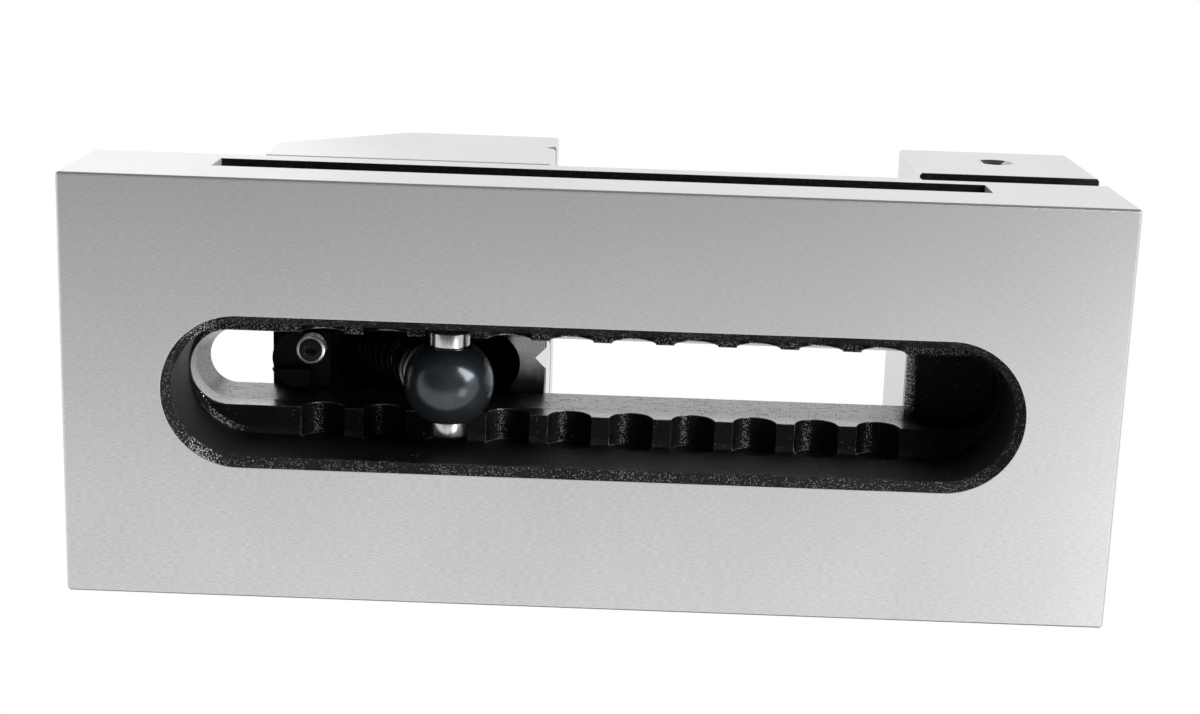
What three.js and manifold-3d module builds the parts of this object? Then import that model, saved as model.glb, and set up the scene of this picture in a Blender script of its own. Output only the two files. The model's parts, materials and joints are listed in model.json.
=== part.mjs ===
// A toolmaker's pull-down vise: one solid bed and fixed jaw, and a moving jaw that a slanted
// screw pulls forward and down. The screw ends in a ball nut whose two trunnion pins hook into
// notches under the bed. Millimetres, +Z up. The origin is on the ground in the middle of the
// footprint, X runs along the bed towards the fixed jaw, and Y runs across the jaws.
import * as THREE from 'three';
import { mergeVertices } from 'three/addons/utils/BufferGeometryUtils.js';
import Module from 'manifold-3d';

const wasm = await Module();
wasm.setup();

// Overall sizes of the vise.
const body_length = 245;
const body_width = 100;
const bed_height = 36;
const jaw_height = 50;
const fixed_jaw_length = 44;
const moving_jaw_length = 69.9;
const edge_chamfer = 0.5;

// Clearances shared by all the pieces.
const running_gap = 0.3;
const cut_overrun = 10;

// The long pocket in the underside: its mouth, the rim round it and the ledges inside.
const mouth_end_wall = 22.5;
const mouth_width = 36.2;
const mouth_offset = 0.4;
const rim_chamfer = 2.1;
const ledge_height = 23.3;
const ledge_corner = 1.2;

// The slot between the ledges, which narrows to a lip at the top of the bed.
const slot_width = 18.6;
const lip_width = 14;
const lip_draft_height = 6.5;
const slot_end_inset = 0.15;
const slot_stop_gap = 1.65;
const slot_ceiling_height = 33;

// The notches that the trunnion pins hook into.
const notch_pitch = 15;
const spare_notches = 1;
const rest_notches_from_open = 1;
const notch_run_out = 1;

// The clamping grooves along the sides and round the end of the fixed jaw.
const side_groove_back_wall = 32;
const side_groove_front_wall = 30.7;
const side_groove_height = 11.8;
const side_groove_centre_height = 23;
const side_groove_depth = 8;
const end_groove_low = 33.6;
const end_groove_height = 11.4;
const end_groove_depth = 6;
const end_groove_run_on = 1;

// The work-stop hole in one side of the fixed jaw.
const stop_hole_radius = 2.65;
const stop_hole_depth = 14;
const stop_hole_sink_radius = 4.6;
const stop_hole_sink_depth = 0.8;
const stop_hole_setback = 22.2;
const stop_hole_below_top = 18;

// The moving jaw: its sloping back, the vees in its face and the recess in its back.
const jaw_back_height = 22.7;
const jaw_slope_run = 30.4;
const vee_width = 5.5;
const vee_depth = 2.75;
const vee_below_top = 20;
const upright_vee_offset = -1.8;
const back_recess_depth = 2.2;
const back_recess_width = 24;

// The ball nut and its trunnion pins.
const ball_radius = 10.8;
const trunnion_radius = 5;
const trunnion_reach = 13.3;
const trunnion_seat_depth = 2.9;
const trunnion_chamfer = 0.8;
const nut_release_drop = 6.3;
const nut_behind_face = 22.4;
const nut_ahead_of_notch = 1.1;
const dimple_radius = 1.6;
const dimple_depth = 0.7;
const dimple_forward = 4.7;
const dimple_aside = -1.6;

// The pull screw, which leans back from the nut, and the rings that its head rests on.
const screw_lean_degrees = 60;
const thread_radius = 5;
const thread_pitch = 1.5;
const thread_depth = 0.45;
const threaded_length = 24;
const nut_bore_depth = 6;
const head_radius = 8;
const head_length = 10;
const hex_socket_width = 8;
const hex_socket_depth = 6;
const swing_centre_reach = 61;
const seat_sphere_radius = 15;
const round_washer_radius = 8.5;
const round_washer_thickness = 3.2;
const seat_ring_height = 4;
const seat_ring_bore_radius = 6.9;
const counterbore_radius = 10.1;
const seat_web_thickness = 5.2;
const web_bore_radius = 6.2;

// The return spring round the screw, and the washer above it.
const spring_wire_radius = 0.6;
const spring_coil_radius = 6.3;
const spring_turns = 8;
const spring_washer_radius = 7.4;
const spring_washer_thickness = 1;
const spring_bore_radius = 8.4;

// The hollow in the underside of the moving jaw, over the ball nut.
const hollow_width = 15.6;
const hollow_ahead_of_nut = 15.9;
const hollow_length = 46;
const hollow_depth = 12;

// The guide block under the back of the jaw, and the screw that holds it.
const block_length = 14.4;
const block_drop = 4;
const block_flange = 1.4;
const block_step_length = 9.7;
const block_step_aside = 2.2;
const block_screw_setback = 10.1;
const block_screw_aside = 3.2;
const block_screw_radius = 2;
const block_screw_head_radius = 3.5;
const block_screw_head_length = 4;
const block_screw_length = 12;
const block_hex_width = 3;
const block_hex_depth = 2.2;
const block_head_chamfer = 0.5;

// Places along the bed that follow from the sizes above.
const fixed_face_x = body_length / 2 - fixed_jaw_length;
const top_height = bed_height + jaw_height;
const ground_clearance = bed_height + running_gap;
const nut_height = ledge_height - nut_release_drop;
const mouth_length = body_length - 2 * mouth_end_wall;
const pocket_half_width = mouth_width / 2 - rim_chamfer;
const pocket_end_x = mouth_length / 2 - rim_chamfer;
const slot_end_x = pocket_end_x - slot_end_inset;
const lip_inset = (slot_width - lip_width) / 2;
const lip_back_x = mouth_offset - slot_end_x + lip_inset;

// The notch for the closed jaw, and how many notches behind it the jaw can open until the guide
// block meets the back end of the slot.
const closed_notch_x = fixed_face_x - running_gap - nut_behind_face - nut_ahead_of_notch;
const closed_block_x = fixed_face_x - running_gap - moving_jaw_length + back_recess_depth;
const open_notches = Math.floor((closed_block_x - lip_back_x - running_gap) / notch_pitch);
const rest_notch_x = closed_notch_x - (open_notches - rest_notches_from_open) * notch_pitch;
const rest_nut_x = rest_notch_x + nut_ahead_of_notch;
const jaw_face_x = rest_nut_x + nut_behind_face;
const jaw_back_x = jaw_face_x - moving_jaw_length;
const notch_radius = trunnion_radius + running_gap;
const ball_width = slot_width - 2 * running_gap;

// Mesh fineness, in sides round a full circle.
const fine_sides = 48;
const small_sides = 24;
const screw_sides = 32;
const wire_sides = 5;
const steps_per_turn = 8;

// A unit direction along the screw, from the nut up and back to the screw's head.
const lean = THREE.MathUtils.degToRad(screw_lean_degrees);
const screw_direction = new THREE.Vector3(-Math.cos(lean), 0, Math.sin(lean));
const nut_centre = new THREE.Vector3(rest_nut_x, 0, nut_height);
const swing_centre = nut_centre.clone().addScaledVector(screw_direction, swing_centre_reach);

// The screw swings from its rest lean to the lean at which the pins sit in a notch.
const hooked_centre = new THREE.Vector3(rest_notch_x, 0, ledge_height);
const screw_draw = swing_centre_reach - hooked_centre.distanceTo(swing_centre);
const swing_angle = screw_direction.angleTo(swing_centre.clone().sub(hooked_centre));
console.log('screw draw', screw_draw.toFixed(3), 'mm');
console.log('screw swing', THREE.MathUtils.radToDeg(swing_angle).toFixed(3), 'degrees');
console.log('screw turns', (screw_draw / thread_pitch).toFixed(3));

// Turn a closed three.js geometry into a solid that can be cut and joined.
function toSolid(geometry) {
  const plain = geometry.clone();
  plain.deleteAttribute('normal');
  plain.deleteAttribute('uv');
  const merged = mergeVertices(plain);
  return new wasm.Manifold(new wasm.Mesh({
    numProp: 3,
    vertProperties: new Float32Array(merged.attributes.position.array),
    triVerts: new Uint32Array(merged.index.array),
  }));
}

// Turn a solid back into a geometry for a mesh.
function toGeometry(solid) {
  const mesh = solid.getMesh();
  const geometry = new THREE.BufferGeometry();
  geometry.setAttribute('position', new THREE.BufferAttribute(mesh.vertProperties, mesh.numProp));
  geometry.setIndex(new THREE.BufferAttribute(mesh.triVerts, 1));
  geometry.computeVertexNormals();
  return geometry;
}

// A box between two corners.
function boxBetween(low, high) {
  const [x, y, z] = high.map((value, axis) => value - low[axis]);
  const centre = high.map((value, axis) => (value + low[axis]) / 2);
  return toSolid(new THREE.BoxGeometry(x, y, z).translate(...centre));
}

// A shape drawn on the ground plan, raised between two heights.
function raise(shape, low, high) {
  const geometry = new THREE.ExtrudeGeometry(shape, {
    depth: high - low, bevelEnabled: false, curveSegments: fine_sides / 2,
  });
  return toSolid(geometry.translate(0, 0, low));
}

// A slot outline with round ends, between two ends on X and centred on Y.
function slotShape(left, right, half_width) {
  const shape = new THREE.Shape();
  shape.absarc(left + half_width, 0, half_width, Math.PI / 2, Math.PI * 3 / 2, false);
  shape.absarc(right - half_width, 0, half_width, -Math.PI / 2, Math.PI / 2, false);
  shape.closePath();
  return shape;
}

// A slot that keeps its outline up to one height and then narrows all round to another.
function narrowingSlot(left, right, half_width, low, high, draft, inset) {
  const shape = slotShape(left + inset, right - inset, half_width - inset);
  const geometry = new THREE.ExtrudeGeometry(shape, {
    depth: high - draft - low,
    bevelThickness: draft,
    bevelSize: inset,
    bevelSegments: 1,
    curveSegments: fine_sides / 2,
  });
  return toSolid(geometry.translate(0, 0, low));
}

// A side profile drawn with X along and height up, spread across the width with chamfered rims.
function spreadAcross(shape, width, chamfer) {
  const geometry = new THREE.ExtrudeGeometry(shape, {
    depth: width - 2 * chamfer,
    bevelEnabled: chamfer > 0,
    bevelThickness: chamfer,
    bevelSize: chamfer,
    bevelOffset: -chamfer,
    bevelSegments: 1,
  });
  geometry.rotateX(Math.PI / 2);
  geometry.translate(0, width / 2 - chamfer, 0);
  return toSolid(geometry);
}

// A profile with each outward corner cut back by a small chamfer.
function chamferedProfile(corners, chamfer) {
  const points = [];
  corners.forEach((corner, index) => {
    const before = corners[(index + corners.length - 1) % corners.length];
    const after = corners[(index + 1) % corners.length];
    const here = new THREE.Vector2(...corner);
    const back = new THREE.Vector2(...before).sub(here).normalize();
    const ahead = new THREE.Vector2(...after).sub(here).normalize();
    if (ahead.cross(back) > 0) {
      points.push(here.clone().addScaledVector(back, chamfer));
      points.push(here.clone().addScaledVector(ahead, chamfer));
    } else {
      points.push(here);
    }
  });
  return new THREE.Shape(points);
}

// A solid turned about the Z axis from pairs of radius and height, which starts and ends on it
// or closes on itself.
function turned(pairs, sides) {
  const points = pairs.map(([radius, height]) => new THREE.Vector2(radius, height));
  const geometry = new THREE.LatheGeometry(points, sides);
  geometry.rotateX(Math.PI / 2);
  return toSolid(geometry);
}

// A plain round bar along Z between two heights.
function roundBar(radius, low, high, sides) {
  return turned([[0, low], [radius, low], [radius, high], [0, high]], sides);
}

// A six-sided prism along Z between two heights, by its width across flats.
function hexBar(width, low, high) {
  const corner_radius = width / 2 / Math.cos(Math.PI / 6);
  return roundBar(corner_radius, low, high, 6);
}

// Stand a solid that is modelled along Z on the screw's axis, with height 0 at the nut's centre.
// A share of the swing above 0 leans it over towards the hooked position.
function onScrewAxis(solid, swing_share = 0) {
  const upright = new THREE.Matrix4().makeRotationY(lean - Math.PI / 2);
  const to_nut = new THREE.Matrix4().makeTranslation(...nut_centre);
  const to_pivot = new THREE.Matrix4().makeTranslation(...swing_centre);
  const from_pivot = new THREE.Matrix4().makeTranslation(...swing_centre.clone().negate());
  const swing = new THREE.Matrix4().makeRotationY(-swing_angle * swing_share);
  const place = to_pivot.multiply(swing).multiply(from_pivot).multiply(to_nut).multiply(upright);
  return solid.transform(place.elements);
}

// Give a solid its name, colour and finish.
function node(name, solid, colour, roughness, metalness) {
  const material = new THREE.MeshStandardMaterial({ color: colour, roughness, metalness });
  const mesh = new THREE.Mesh(toGeometry(solid), material);
  mesh.name = name;
  return mesh;
}

// The bed and fixed jaw in one piece.
function viseBody() {
  const half_length = body_length / 2;
  const outline = chamferedProfile([
    [-half_length, 0], [half_length, 0], [half_length, top_height],
    [fixed_face_x, top_height], [fixed_face_x, bed_height], [-half_length, bed_height],
  ], edge_chamfer);
  let body = spreadAcross(outline, body_width, edge_chamfer);
  body = body.subtract(bottomPocket());
  body = body.subtract(bedSlot());
  for (const notch of notches()) {
    body = body.subtract(notch);
  }
  for (const side of [-1, 1]) {
    body = body.subtract(sideGroove(side));
  }
  body = body.subtract(endGroove());
  return body.subtract(stopHole());
}

// The pocket in the underside, with its chamfered mouth.
function bottomPocket() {
  const left = mouth_offset - mouth_length / 2;
  const right = mouth_offset + mouth_length / 2;
  const rim = narrowingSlot(left, right, mouth_width / 2, -cut_overrun, rim_chamfer, rim_chamfer, rim_chamfer);
  const pocket = narrowingSlot(
    mouth_offset - pocket_end_x, mouth_offset + pocket_end_x, pocket_half_width, -cut_overrun, ledge_height,
    ledge_corner, ledge_corner);
  return rim.add(pocket);
}

// The slot above the ledges. It opens through the bed up to the fixed jaw, and under the jaw it
// stops at a ceiling.
function bedSlot() {
  const left = mouth_offset - slot_end_x;
  const right = mouth_offset + slot_end_x;
  const open_end_x = fixed_face_x - slot_stop_gap;
  const middle = (left + right) / 2;
  const narrowing = narrowingSlot(
    left, right + slot_width, slot_width / 2, nut_height, bed_height, lip_draft_height, lip_inset);
  const lip = raise(slotShape(lip_back_x, right + slot_width, lip_width / 2), nut_height, bed_height + cut_overrun);
  const half = body_width / 2;
  const open_length = boxBetween([left - cut_overrun, -half, 0], [open_end_x, half, bed_height + 2 * cut_overrun]);
  const blind = raise(slotShape(middle, right, slot_width / 2), nut_height, slot_ceiling_height);
  return narrowing.add(lip).intersect(open_length).add(blind.subtract(open_length));
}

// The notches across both ledges. Each is a bored half circle that runs out into the pocket's
// side walls.
function notches() {
  const cuts = [];
  for (let steps = -spare_notches; steps <= open_notches + spare_notches; steps += 1) {
    const x = closed_notch_x - steps * notch_pitch;
    const bar = new THREE.CylinderGeometry(
      notch_radius, notch_radius, 2 * (pocket_half_width + notch_run_out), fine_sides);
    cuts.push(toSolid(bar.translate(x, 0, ledge_height)));
  }
  return cuts;
}

// A long clamping groove in one side of the bed.
function sideGroove(side) {
  const floor_y = body_width / 2 - side_groove_depth;
  const open_y = body_width / 2 + cut_overrun;
  const ys = side > 0 ? [floor_y, open_y] : [-open_y, -floor_y];
  const left = side_groove_back_wall - body_length / 2;
  const right = body_length / 2 - side_groove_front_wall;
  const low = side_groove_centre_height - side_groove_height / 2;
  return boxBetween([left, ys[0], low], [right, ys[1], low + side_groove_height]);
}

// The groove round the sides and the end of the fixed jaw.
function endGroove() {
  const top = end_groove_low + end_groove_height;
  const far_x = body_length / 2 + cut_overrun;
  const far_y = body_width / 2 + cut_overrun;
  const band = boxBetween([fixed_face_x - cut_overrun, -far_y, end_groove_low], [far_x, far_y, top]);
  const core_y = body_width / 2 - end_groove_depth;
  const core_x = body_length / 2 - end_groove_depth;
  const core = boxBetween([-body_length, -core_y, 0], [core_x, core_y, top_height]);
  const keep = boxBetween([-body_length, -far_y, 0], [fixed_face_x - end_groove_run_on, far_y, top_height]);
  return band.subtract(core).subtract(keep);
}

// The countersunk hole for a work stop, in the side of the fixed jaw at lower Y.
function stopHole() {
  const bit = turned([
    [0, -stop_hole_depth], [stop_hole_radius, -stop_hole_depth], [stop_hole_radius, -stop_hole_sink_depth],
    [stop_hole_sink_radius, 0], [stop_hole_sink_radius, cut_overrun], [0, cut_overrun],
  ], small_sides);
  const place = new THREE.Matrix4().makeTranslation(
    fixed_face_x + stop_hole_setback, -body_width / 2, top_height - stop_hole_below_top);
  place.multiply(new THREE.Matrix4().makeRotationX(Math.PI / 2));
  return bit.transform(place.elements);
}

// The moving jaw, with everything that the slanted screw needs cut out of it.
function movingJaw() {
  const back_top = ground_clearance + jaw_back_height;
  const outline = chamferedProfile([
    [jaw_back_x, ground_clearance], [jaw_face_x, ground_clearance], [jaw_face_x, top_height],
    [jaw_back_x + jaw_slope_run, top_height], [jaw_back_x, back_top],
  ], edge_chamfer);
  let jaw = spreadAcross(outline, body_width, edge_chamfer);
  jaw = jaw.subtract(uprightVee()).subtract(levelVee());
  jaw = jaw.subtract(underHollow()).subtract(backRecess()).subtract(blockScrewHole());
  const counterbore_bottom = seatRingLow() - running_gap;
  const counterbore = roundBar(counterbore_radius, counterbore_bottom, swing_centre_reach * 2, fine_sides);
  jaw = jaw.subtract(onScrewAxis(counterbore));
  for (const share of [0, 1 / 2, 1]) {
    jaw = jaw.subtract(onScrewAxis(roundBar(web_bore_radius, 0, seatRingLow(), fine_sides), share));
    jaw = jaw.subtract(onScrewAxis(roundBar(spring_bore_radius, 0, webBottom(), fine_sides), share));
  }
  return jaw;
}

// The height of the seat ring's flat underside along the screw's axis.
function seatRingLow() {
  const outer_radius = counterbore_radius - running_gap;
  const sphere_radius = seat_sphere_radius + running_gap;
  const rim = swing_centre_reach - Math.sqrt(sphere_radius ** 2 - outer_radius ** 2);
  return rim - seat_ring_height;
}

// The upright vee near the middle of the moving jaw's face, for round work stood on end.
function uprightVee() {
  const shape = new THREE.Shape([
    new THREE.Vector2(jaw_face_x - vee_depth, upright_vee_offset),
    new THREE.Vector2(jaw_face_x + vee_depth, upright_vee_offset - vee_width),
    new THREE.Vector2(jaw_face_x + vee_depth, upright_vee_offset + vee_width),
  ]);
  return raise(shape, ground_clearance - cut_overrun, top_height + cut_overrun);
}

// The level vee across the moving jaw's face, for round work laid flat.
function levelVee() {
  const height = top_height - vee_below_top;
  const shape = new THREE.Shape([
    new THREE.Vector2(jaw_face_x - vee_depth, height),
    new THREE.Vector2(jaw_face_x + vee_depth, height - vee_width),
    new THREE.Vector2(jaw_face_x + vee_depth, height + vee_width),
  ]);
  return spreadAcross(shape, body_width + 2 * cut_overrun, 0);
}

// The hollow under the jaw that the ball nut and the screw move in.
function underHollow() {
  const right = rest_nut_x + hollow_ahead_of_nut;
  const shape = slotShape(right - hollow_length, right, hollow_width / 2);
  return raise(shape, ground_clearance - cut_overrun, ground_clearance + hollow_depth);
}

// The shallow recess down the middle of the jaw's back.
function backRecess() {
  const half = back_recess_width / 2;
  return boxBetween(
    [jaw_back_x - cut_overrun, -half, ground_clearance - cut_overrun],
    [jaw_back_x + back_recess_depth, half, top_height + cut_overrun]);
}

// The place of the guide block's screw, on the ground plan.
function blockScrewPlace() {
  return [jaw_back_x + back_recess_depth + block_screw_setback, -block_screw_aside];
}

// The hole in the jaw for the guide block's screw.
function blockScrewHole() {
  const [x, y] = blockScrewPlace();
  const radius = block_screw_radius + running_gap;
  const top = ground_clearance + block_screw_length;
  return roundBar(radius, ground_clearance - cut_overrun, top, small_sides).translate([x, y, 0]);
}

// The guide block that runs in the lip of the bed slot: a thin flange under the screw's head,
// and a deeper key beside it. Its back is rounded like the end of the slot.
function guideBlock() {
  const left = jaw_back_x + back_recess_depth;
  const half = lip_width / 2 - running_gap;
  const top = bed_height;
  const flange = boxBetween([left, -half, top - block_flange], [left + block_length, half, top]);
  const key = boxBetween([left, block_step_aside, top - block_drop], [left + block_step_length, half, top]);
  const round_back = raise(slotShape(left, left + 2 * block_length, half), 0, top_height);
  const [x, y] = blockScrewPlace();
  const radius = block_screw_radius + running_gap;
  const hole = roundBar(radius, 0, top_height, small_sides).translate([x, y, 0]);
  return flange.add(key).intersect(round_back).subtract(hole);
}

// The socket screw that holds the guide block up to the jaw.
function guideBlockScrew() {
  const [x, y] = blockScrewPlace();
  const head_top = bed_height - block_flange - running_gap;
  const head_low = head_top - block_screw_head_length;
  const chamfer_radius = block_screw_head_radius - block_head_chamfer;
  const shank_top = ground_clearance + block_screw_length - running_gap;
  const screw = turned([
    [0, head_low], [chamfer_radius, head_low], [block_screw_head_radius, head_low + block_head_chamfer],
    [block_screw_head_radius, head_top], [block_screw_radius, head_top], [block_screw_radius, shank_top],
    [0, shank_top],
  ], small_sides);
  const socket = hexBar(block_hex_width, head_low - cut_overrun, head_low + block_hex_depth);
  return screw.subtract(socket).translate([x, y, 0]);
}

// The ball nut: a ball cut flat on both sides, with a slanted bore for the screw, two seats for
// the trunnion pins and a small dimple underneath.
function ballNut() {
  const ball = toSolid(new THREE.SphereGeometry(ball_radius, fine_sides, fine_sides / 2)
    .translate(...nut_centre));
  const reach = 2 * ball_radius;
  const half = ball_width / 2;
  const flats = boxBetween(
    [rest_nut_x - reach, -half, nut_height - reach], [rest_nut_x + reach, half, nut_height + reach]);
  let nut = ball.intersect(flats);
  const bore = roundBar(thread_radius + running_gap, -nut_bore_depth, reach, fine_sides);
  nut = nut.subtract(onScrewAxis(bore));
  for (const side of [-1, 1]) {
    nut = nut.subtract(trunnion(side, trunnion_radius + running_gap, running_gap));
  }
  return nut.subtract(dimple());
}

// A small cone to cut a dimple square to the underside of the ball.
function dimple() {
  const drop = Math.sqrt(ball_radius ** 2 - dimple_forward ** 2 - dimple_aside ** 2);
  const outward = new THREE.Vector3(dimple_forward, dimple_aside, -drop).normalize();
  const cone = turned([
    [0, ball_radius - dimple_depth], [dimple_radius, ball_radius],
    [dimple_radius, ball_radius + cut_overrun], [0, ball_radius + cut_overrun],
  ], small_sides);
  const upward = new THREE.Vector3(0, 0, 1);
  const turn = new THREE.Quaternion().setFromUnitVectors(upward, outward);
  const place = new THREE.Matrix4().makeTranslation(...nut_centre);
  place.multiply(new THREE.Matrix4().makeRotationFromQuaternion(turn));
  return cone.transform(place.elements);
}

// A bar where a trunnion pin is, on one side of the nut. A spare length lets its seat be deeper.
function trunnion(side, radius, spare) {
  const inner = ball_width / 2 - trunnion_seat_depth - spare;
  const outer = trunnion_reach + spare;
  const tip_radius = radius - trunnion_chamfer;
  const bar = turned([
    [0, inner], [radius, inner], [radius, outer - trunnion_chamfer], [tip_radius, outer], [0, outer],
  ], fine_sides);
  const place = new THREE.Matrix4().makeTranslation(...nut_centre);
  place.multiply(new THREE.Matrix4().makeRotationX(-side * Math.PI / 2));
  return bar.transform(place.elements);
}

// The pull screw: a socket head, a plain shank and a threaded end inside the nut.
function pullScrew() {
  const head_low = washerTop() + running_gap;
  const head_high = head_low + head_length;
  const low = screw_draw + running_gap - nut_bore_depth;
  const profile = [[0, low]];
  const turns = Math.floor(threaded_length / thread_pitch);
  for (let turn = 0; turn < turns; turn += 1) {
    const start = low + turn * thread_pitch;
    profile.push([thread_radius - thread_depth, start]);
    profile.push([thread_radius, start + thread_pitch / 2]);
  }
  profile.push([thread_radius - thread_depth, low + turns * thread_pitch]);
  profile.push([thread_radius, low + turns * thread_pitch + thread_depth]);
  profile.push([thread_radius, head_low], [head_radius, head_low]);
  profile.push([head_radius, head_high - edge_chamfer], [head_radius - edge_chamfer, head_high]);
  profile.push([0, head_high]);
  const screw = turned(profile, screw_sides);
  const socket = hexBar(hex_socket_width, head_high - hex_socket_depth, head_high + cut_overrun);
  return onScrewAxis(screw.subtract(socket));
}

// The height of the round washer's flat top along the screw's axis.
function washerTop() {
  const bore_radius = thread_radius + running_gap;
  const low = swing_centre_reach - Math.sqrt(seat_sphere_radius ** 2 - bore_radius ** 2);
  return low + round_washer_thickness;
}

// Points on a sphere about the swing centre, as pairs of radius and height, inner one first.
function sphereArc(sphere_radius, inner_radius, outer_radius, steps) {
  const pairs = [];
  for (let step = 0; step <= steps; step += 1) {
    const radius = inner_radius + (outer_radius - inner_radius) * step / steps;
    pairs.push([radius, swing_centre_reach - Math.sqrt(sphere_radius ** 2 - radius ** 2)]);
  }
  return pairs;
}

// The washer under the screw's head. Its underside is part of a ball, so the screw can swing.
function roundWasher() {
  const bore_radius = thread_radius + running_gap;
  const top = washerTop();
  const pairs = sphereArc(seat_sphere_radius, bore_radius, round_washer_radius, small_sides / 4);
  pairs.push([round_washer_radius, top], [bore_radius, top], pairs[0]);
  return onScrewAxis(turned(pairs, fine_sides));
}

// The hollowed ring in the jaw that the round washer rocks in.
function seatRing() {
  const low = seatRingLow();
  const outer_radius = counterbore_radius - running_gap;
  const sphere_radius = seat_sphere_radius + running_gap;
  const hollow = sphereArc(sphere_radius, seat_ring_bore_radius, outer_radius, small_sides / 4);
  const bore_corner = [seat_ring_bore_radius, low];
  const pairs = [bore_corner, [outer_radius, low], ...hollow.reverse(), bore_corner];
  return onScrewAxis(turned(pairs, fine_sides));
}

// The height of the web's underside along the screw's axis, where the spring washer rests.
function webBottom() {
  return seatRingLow() - running_gap - seat_web_thickness;
}

// The washer between the spring and the jaw.
function springWasher() {
  const high = webBottom() - running_gap;
  const low = high - spring_washer_thickness;
  const bore_radius = thread_radius + running_gap;
  const pairs = [
    [bore_radius, low], [spring_washer_radius, low], [spring_washer_radius, high],
    [bore_radius, high], [bore_radius, low],
  ];
  return onScrewAxis(turned(pairs, fine_sides));
}

// The return spring: one wire wound round the screw, between the washer and the ball.
function releaseSpring() {
  const high = webBottom() - 2 * running_gap - spring_washer_thickness - spring_wire_radius;
  const ball_top = Math.sqrt(ball_radius ** 2 - spring_coil_radius ** 2);
  const low = ball_top + 2 * spring_wire_radius + running_gap;
  const steps = spring_turns * steps_per_turn;
  const rise = (high - low) / spring_turns / (2 * Math.PI * spring_coil_radius);
  const positions = [];
  const path = [];
  for (let step = 0; step <= steps; step += 1) {
    const angle = step / steps * spring_turns * 2 * Math.PI;
    const height = low + step / steps * (high - low);
    const centre = new THREE.Vector3(
      spring_coil_radius * Math.cos(angle), spring_coil_radius * Math.sin(angle), height);
    path.push(centre);
    const outward = new THREE.Vector3(Math.cos(angle), Math.sin(angle), 0);
    const upward = new THREE.Vector3(Math.sin(angle) * rise, -Math.cos(angle) * rise, 1).normalize();
    for (let side = 0; side < wire_sides; side += 1) {
      const turn = side / wire_sides * 2 * Math.PI;
      const point = centre.clone()
        .addScaledVector(outward, spring_wire_radius * Math.cos(turn))
        .addScaledVector(upward, spring_wire_radius * Math.sin(turn));
      positions.push(point.x, point.y, point.z);
    }
  }
  const faces = [];
  for (let step = 0; step < steps; step += 1) {
    for (let side = 0; side < wire_sides; side += 1) {
      const a = step * wire_sides + side;
      const b = step * wire_sides + (side + 1) % wire_sides;
      faces.push(a, b, b + wire_sides, a, b + wire_sides, a + wire_sides);
    }
  }
  const last = steps * wire_sides;
  for (let side = 1; side < wire_sides - 1; side += 1) {
    faces.push(0, side + 1, side);
    faces.push(last, last + side, last + side + 1);
  }
  const geometry = new THREE.BufferGeometry();
  geometry.setAttribute('position', new THREE.Float32BufferAttribute(positions, 3));
  geometry.setIndex(faces);
  console.log('least gap of the spring to itself', leastGap(path).toFixed(3), 'mm');
  let spring = toSolid(geometry);
  if (spring.volume() < 0) {
    geometry.setIndex(faces.reverse());
    spring = toSolid(geometry);
  }
  return onScrewAxis(spring);
}

// The least gap between points of the spring that lie half a turn or more apart along it.
function leastGap(path) {
  let least = Infinity;
  const apart = steps_per_turn / 2;
  path.forEach((point, index) => {
    for (const other of path.slice(index + apart)) {
      least = Math.min(least, point.distanceTo(other));
    }
  });
  return least - 2 * spring_wire_radius;
}

// The whole vise. The moving jaw group holds what slides with it.
const vise = new THREE.Group();
vise.add(node('vise_body', viseBody(), 0xb9bcbf, 0.35, 1));
const jaw_group = new THREE.Group();
jaw_group.add(node('moving_jaw', movingJaw(), 0xc4c6c8, 0.35, 1));
jaw_group.add(node('guide_block', guideBlock(), 0x1c1d20, 0.6, 0.6));
jaw_group.add(node('guide_block_screw', guideBlockScrew(), 0xa9a59c, 0.3, 1));
jaw_group.add(node('screw_seat_ring', seatRing(), 0x54565a, 0.4, 1));
vise.add(jaw_group);
const pull_group = new THREE.Group();
pull_group.add(node('round_washer', roundWasher(), 0x5d5f63, 0.35, 1));
pull_group.add(node('pull_screw', pullScrew(), 0x6d6e70, 0.35, 1));
pull_group.add(node('spring_washer', springWasher(), 0x86888b, 0.35, 1));
pull_group.add(node('release_spring', releaseSpring(), 0x77797c, 0.35, 1));
pull_group.add(node('ball_nut', ballNut(), 0x22252a, 0.2, 0.9));
pull_group.add(node('trunnion_pin_near', trunnion(1, trunnion_radius, 0), 0xd0d2d4, 0.25, 1));
pull_group.add(node('trunnion_pin_far', trunnion(-1, trunnion_radius, 0), 0xd0d2d4, 0.25, 1));
vise.add(pull_group);

export default vise;
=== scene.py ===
# %% [markdown]
# This lesson dresses a toolmaker's pull-down vise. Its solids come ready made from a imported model:
# the bed, the moving jaw, the ball nut and what carries it. Here they get the finish of ground
# tool steel and of the black paint in the recesses, and the small turned pieces are modelled
# again with finer shapes.

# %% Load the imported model
import json
import math

import bpy
from mathutils import Matrix, Vector


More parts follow.
